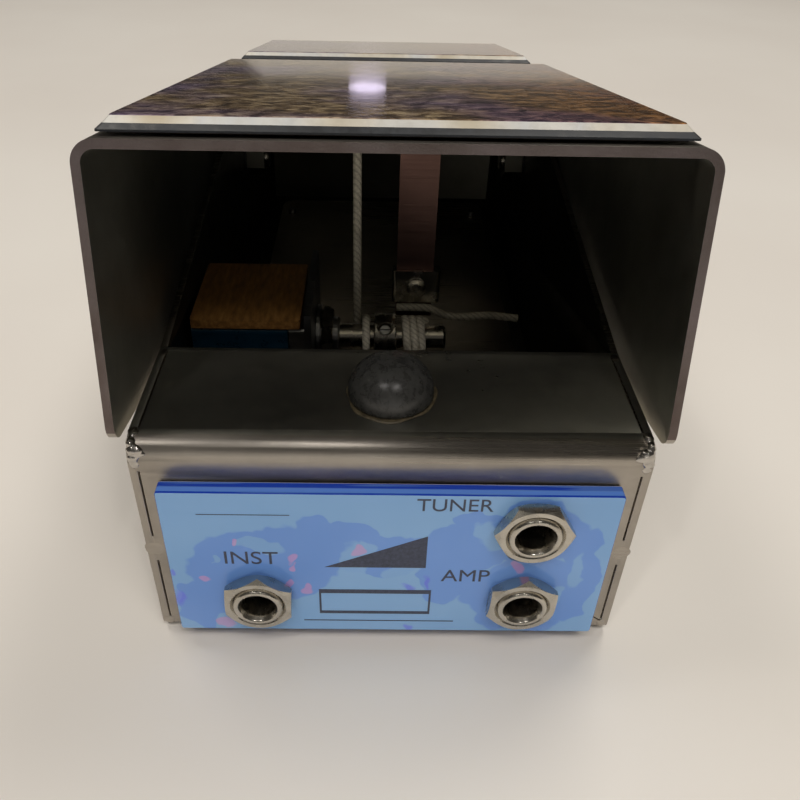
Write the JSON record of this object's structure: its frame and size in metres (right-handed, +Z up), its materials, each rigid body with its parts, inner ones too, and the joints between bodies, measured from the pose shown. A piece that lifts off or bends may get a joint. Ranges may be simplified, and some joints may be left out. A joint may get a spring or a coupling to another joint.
{
  "type": "volume pedal",
  "caption": "Rocking foot pedal: folded sheet treadle on a box base, turning a potentiometer shaft by a cord; audio sockets in the front panel.",
  "frame": {"origin": "centre of the overall box at floor level, under the middle of the pedal", "axes": "+X to the right when looking at the jack panel, +Y from the jack panel to the heel end, +Z up"},
  "size_m": [0.1018, 0.2396, 0.1005],
  "materials": {
    "stainless_steel": "satin",
    "nickel_plating": "bright",
    "zinc_plating": "satin",
    "blue_acrylic": "gloss",
    "black_rubber": "matt",
    "burl_laminate": "gloss burl over white and black plies",
    "brown_adhesive": "matt",
    "blue_plastic": "semi-gloss",
    "phenolic_board": "matt",
    "tinned_brass": "satin",
    "braided_cord": "braided",
    "black_nylon": "satin",
    "white_insulation": "satin",
    "red_insulation": "satin",
    "yellow_insulation": "satin",
    "black_insulation": "satin"
  },
  "bodies": {
    "base": {"base_shell": "stainless_steel", "bottom_cover": "stainless_steel", "rubber_sole": "black_rubber", "cover_screw_1": "zinc_plating", "cover_screw_2": "zinc_plating", "cover_screw_3": "zinc_plating", "cover_screw_4": "zinc_plating", "toe_bumper": "black_rubber", "heel_bumper": "black_rubber", "jack_panel": "blue_acrylic", "input_jack": "nickel_plating", "input_jack_insulator": "phenolic_board", "input_jack_contact": "tinned_brass", "input_jack_nut": "nickel_plating", "tuner_jack": "nickel_plating", "tuner_jack_insulator": "phenolic_board", "tuner_jack_contact": "tinned_brass", "tuner_jack_nut": "nickel_plating", "output_jack": "nickel_plating", "output_jack_insulator": "phenolic_board", "output_jack_contact": "tinned_brass", "output_jack_nut": "nickel_plating", "pot_bracket": "zinc_plating", "bracket_screw_1": "zinc_plating", "bracket_screw_2": "zinc_plating", "pot_housing": "blue_plastic", "pot_front_case": "zinc_plating", "pot_board": "phenolic_board", "pot_lug_1": "tinned_brass", "pot_lug_2": "tinned_brass", "pot_lug_3": "tinned_brass", "pot_washer": "zinc_plating", "pot_nut": "zinc_plating", "hinge_bush_left": "black_nylon", "hinge_bush_right": "black_nylon", "input_wire": "white_insulation", "output_wire": "red_insulation", "tuner_wire": "yellow_insulation", "ground_wire": "black_insulation"},
    "drum": {"pot_shaft": "nickel_plating", "cord_collar": "nickel_plating", "collar_set_screw": "zinc_plating", "cord_wrap_left": "braided_cord", "cord_wrap_right": "braided_cord"},
    "treadle": {"treadle": "stainless_steel", "toe_plate": "burl_laminate", "toe_plate_adhesive": "brown_adhesive", "heel_plate": "burl_laminate", "heel_plate_adhesive": "brown_adhesive", "cord_anchor": "zinc_plating", "strap": "stainless_steel", "strap_rivet": "zinc_plating", "strap_clip": "nickel_plating", "clip_rivet": "nickel_plating", "drive_cord": "braided_cord", "cord_tail": "braided_cord", "hinge_bolt_left": "zinc_plating", "hinge_bolt_right": "zinc_plating", "hinge_nut_left": "zinc_plating", "hinge_nut_right": "zinc_plating"}
  },
  "joints": [
    {"name": "treadle_hinge", "type": "hinge", "parent": "base", "child": "treadle", "pos_m": [0, 0.03682, 0.045], "axis": [1, 0, 0], "range_deg": [0, 15.7]},
    {"name": "drum_spin", "type": "hinge", "parent": "base", "child": "drum", "pos_m": [0, -0.05598, 0.0358], "axis": [1, 0, 0], "range_deg": [-314, 0]}
  ],
  "couplings": [
    {"joint": "drum_spin", "follows": "treadle_hinge", "ratio": -20}
  ]
}
